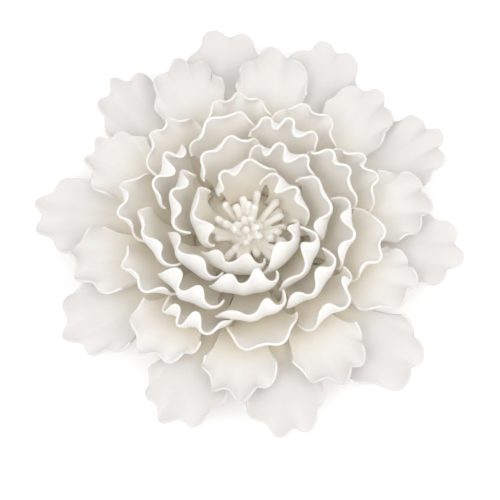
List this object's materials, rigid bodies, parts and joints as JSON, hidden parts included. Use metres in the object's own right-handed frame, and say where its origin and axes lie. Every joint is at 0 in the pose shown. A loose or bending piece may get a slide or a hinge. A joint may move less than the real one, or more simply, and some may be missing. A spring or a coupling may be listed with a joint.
{
  "type": "porcelain wall flower",
  "caption": "Wall ornament in unglazed white porcelain: a full flower of ruffled slab petals in overlapping rows around a tuft of rolled stamens, on a flat-backed domed base.",
  "frame": {"origin": "middle of the flat back of the base", "axes": "+Z along the flower's axis, from the wall towards the viewer; +Y up as it hangs in the picture"},
  "size_m": [0.2959, 0.3016, 0.0567],
  "materials": {
    "bisque_porcelain": "unglazed, matte, slightly warm white"
  },
  "bodies": {
    "root": {"base": "bisque_porcelain", "stamen_tuft": "bisque_porcelain", "outer_petal_01": "bisque_porcelain", "outer_petal_02": "bisque_porcelain", "outer_petal_03": "bisque_porcelain", "outer_petal_04": "bisque_porcelain", "outer_petal_05": "bisque_porcelain", "outer_petal_06": "bisque_porcelain", "outer_petal_07": "bisque_porcelain", "outer_petal_08": "bisque_porcelain", "outer_petal_09": "bisque_porcelain", "outer_petal_10": "bisque_porcelain", "second_row_petal_01": "bisque_porcelain", "second_row_petal_02": "bisque_porcelain", "second_row_petal_03": "bisque_porcelain", "second_row_petal_04": "bisque_porcelain", "second_row_petal_05": "bisque_porcelain", "second_row_petal_06": "bisque_porcelain", "second_row_petal_07": "bisque_porcelain", "second_row_petal_08": "bisque_porcelain", "second_row_petal_09": "bisque_porcelain", "second_row_petal_10": "bisque_porcelain", "third_row_petal_01": "bisque_porcelain", "third_row_petal_02": "bisque_porcelain", "third_row_petal_03": "bisque_porcelain", "third_row_petal_04": "bisque_porcelain", "third_row_petal_05": "bisque_porcelain", "third_row_petal_06": "bisque_porcelain", "third_row_petal_07": "bisque_porcelain", "third_row_petal_08": "bisque_porcelain", "third_row_petal_09": "bisque_porcelain", "third_row_petal_10": "bisque_porcelain", "fourth_row_petal_01": "bisque_porcelain", "fourth_row_petal_02": "bisque_porcelain", "fourth_row_petal_03": "bisque_porcelain", "fourth_row_petal_04": "bisque_porcelain", "fourth_row_petal_05": "bisque_porcelain", "fourth_row_petal_06": "bisque_porcelain", "fourth_row_petal_07": "bisque_porcelain", "fourth_row_petal_08": "bisque_porcelain", "fourth_row_petal_09": "bisque_porcelain", "fifth_row_petal_01": "bisque_porcelain", "fifth_row_petal_02": "bisque_porcelain", "fifth_row_petal_03": "bisque_porcelain", "fifth_row_petal_04": "bisque_porcelain", "fifth_row_petal_05": "bisque_porcelain", "fifth_row_petal_06": "bisque_porcelain", "fifth_row_petal_07": "bisque_porcelain", "inner_petal_01": "bisque_porcelain", "inner_petal_02": "bisque_porcelain", "inner_petal_03": "bisque_porcelain", "inner_petal_04": "bisque_porcelain", "inner_petal_05": "bisque_porcelain"}
  },
  "joints": []
}
